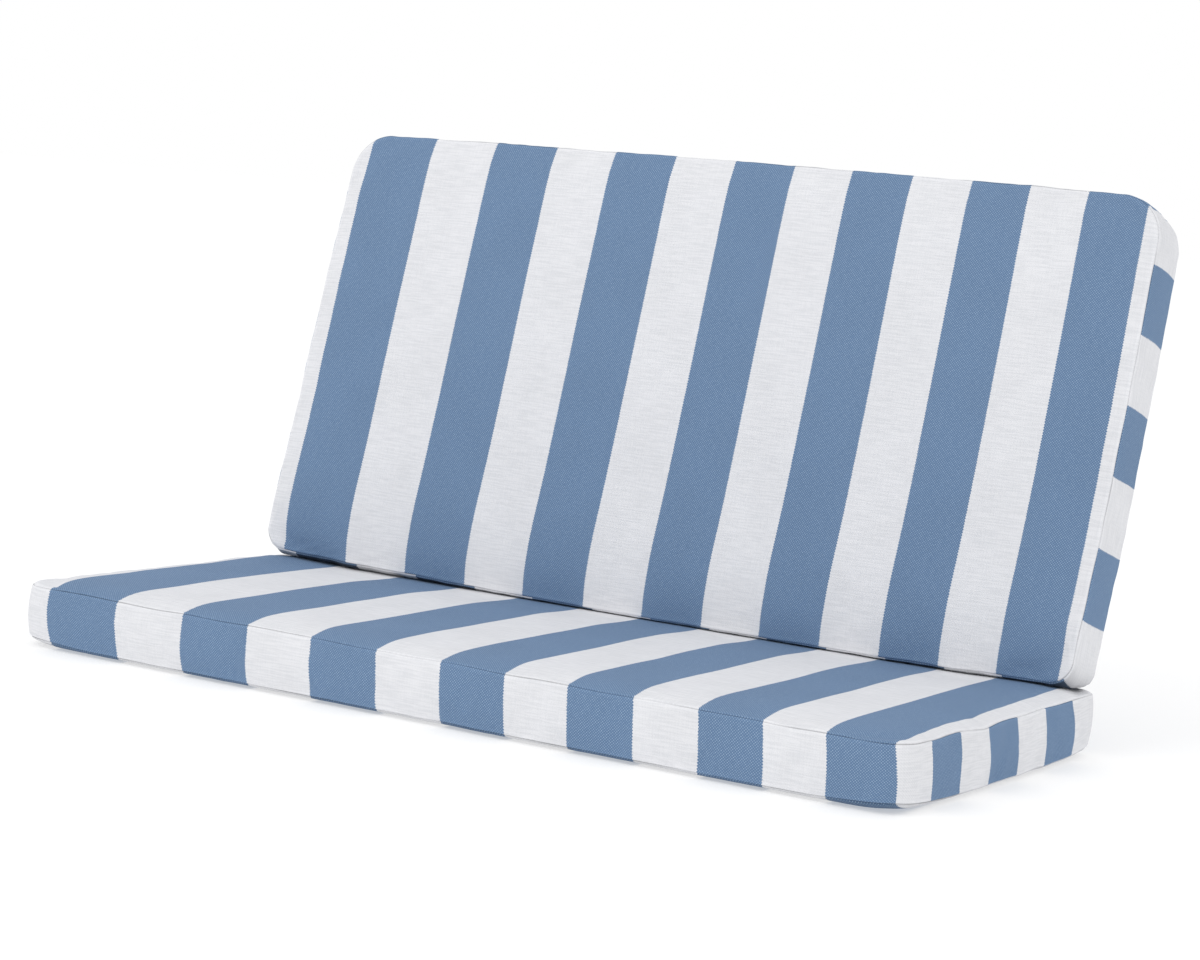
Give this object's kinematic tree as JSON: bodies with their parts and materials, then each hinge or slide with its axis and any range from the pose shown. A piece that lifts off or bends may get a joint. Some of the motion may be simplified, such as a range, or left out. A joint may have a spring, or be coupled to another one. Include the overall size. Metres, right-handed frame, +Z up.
{
  "type": "loveseat cushion",
  "caption": "Boxed seat cushion lying flat with a boxed back cushion standing on its rear and leaning back, in wide blue and white striped outdoor cloth.",
  "frame": {"origin": "middle of the set's box, on the surface that the seat cushion lies on", "axes": "+X along the width, to the right of someone facing the cushions; +Y to the rear, the way the back leans; +Z up"},
  "size_m": [1.2296, 0.7088, 0.6705],
  "materials": {
    "seat_cloth": "matt woven outdoor cloth in wide blue and white stripes that run from front to rear",
    "back_cloth": "matt woven outdoor cloth in wide blue and white stripes that run from foot to top"
  },
  "bodies": {
    "root": {"seat_cushion": "seat_cloth", "back_cushion": "back_cloth"}
  },
  "joints": []
}
